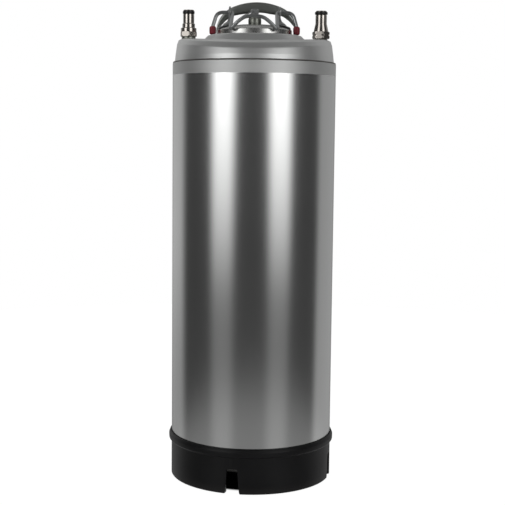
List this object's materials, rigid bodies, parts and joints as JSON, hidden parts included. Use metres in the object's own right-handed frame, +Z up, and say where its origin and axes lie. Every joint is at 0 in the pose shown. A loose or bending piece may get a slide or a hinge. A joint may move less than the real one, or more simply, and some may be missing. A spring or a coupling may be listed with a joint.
{
  "type": "beer keg",
  "caption": "Tall stainless beer keg with a rubber foot, strap handle, two threaded posts and a bail-clamped oval lid.",
  "frame": {"origin": "on the floor, at the middle of the rubber foot", "axes": "+Z up along the shell's axis; +X towards the gas post; -Y the side the bail's handle folds to, seen in front; +Y the strap handle's side"},
  "size_m": [0.223, 0.223, 0.6352],
  "materials": {
    "satin_steel": "satin",
    "bright_steel": "polished",
    "black_rubber": "moulded matte",
    "red_rubber": "moulded satin"
  },
  "bodies": {
    "keg": {"barrel": "satin_steel", "top_head": "satin_steel", "bottom_head": "satin_steel", "top_weld": "satin_steel", "bottom_weld": "satin_steel", "base_boot": "black_rubber", "strap_handle": "bright_steel", "gas_boss": "satin_steel", "liquid_boss": "satin_steel", "gas_post": "bright_steel", "liquid_post": "bright_steel", "gas_post_ring": "black_rubber", "liquid_post_ring": "black_rubber", "gas_tube_seal": "black_rubber", "liquid_tube_seal": "black_rubber", "gas_dip_tube": "satin_steel", "liquid_dip_tube": "satin_steel", "gas_poppet_spring": "bright_steel", "liquid_poppet_spring": "bright_steel"},
    "gas_valve": {"gas_poppet": "bright_steel"},
    "liquid_valve": {"liquid_poppet": "bright_steel"},
    "lid": {"lid_plate": "bright_steel", "lid_seal": "black_rubber", "left_bracket": "bright_steel", "right_bracket": "bright_steel", "relief_body": "bright_steel", "relief_nut": "bright_steel", "relief_cap": "bright_steel", "relief_spring": "bright_steel"},
    "bail": {"bail_wire": "bright_steel", "left_bail_foot": "red_rubber", "right_bail_foot": "red_rubber"},
    "relief_plunger": {"relief_stem": "bright_steel", "relief_seal": "black_rubber"},
    "ring": {"pull_ring": "bright_steel"}
  },
  "joints": [
    {"name": "lid_drop", "type": "slide", "parent": "keg", "child": "lid", "axis": [0, 0, 1], "range_m": [-0.006, 0]},
    {"name": "bail_swing", "type": "hinge", "parent": "lid", "child": "bail", "pos_m": [0, 0, 0.62], "axis": [-1, 0, 0], "range_deg": [0, 100]},
    {"name": "relief_pull", "type": "slide", "parent": "lid", "child": "relief_plunger", "axis": [0, 0, 1], "range_m": [0, 0.004], "stiffness_N_per_m": 900, "springref_m": -0.003, "deforming": ["relief_spring"]},
    {"name": "ring_swing", "type": "hinge", "parent": "relief_plunger", "child": "ring", "pos_m": [0, 0, 0.6212], "axis": [0, 1, 0], "range_deg": [0, 130]},
    {"name": "gas_poppet_push", "type": "slide", "parent": "keg", "child": "gas_valve", "axis": [0, 0, -1], "range_m": [0, 0.0035], "stiffness_N_per_m": 600, "springref_m": -0.003, "deforming": ["gas_poppet_spring"]},
    {"name": "liquid_poppet_push", "type": "slide", "parent": "keg", "child": "liquid_valve", "axis": [0, 0, -1], "range_m": [0, 0.0035], "stiffness_N_per_m": 600, "springref_m": -0.003, "deforming": ["liquid_poppet_spring"]}
  ],
  "couplings": [
    {"joint": "lid_drop", "follows": "bail_swing", "m_per_rad": -0.003437}
  ]
}
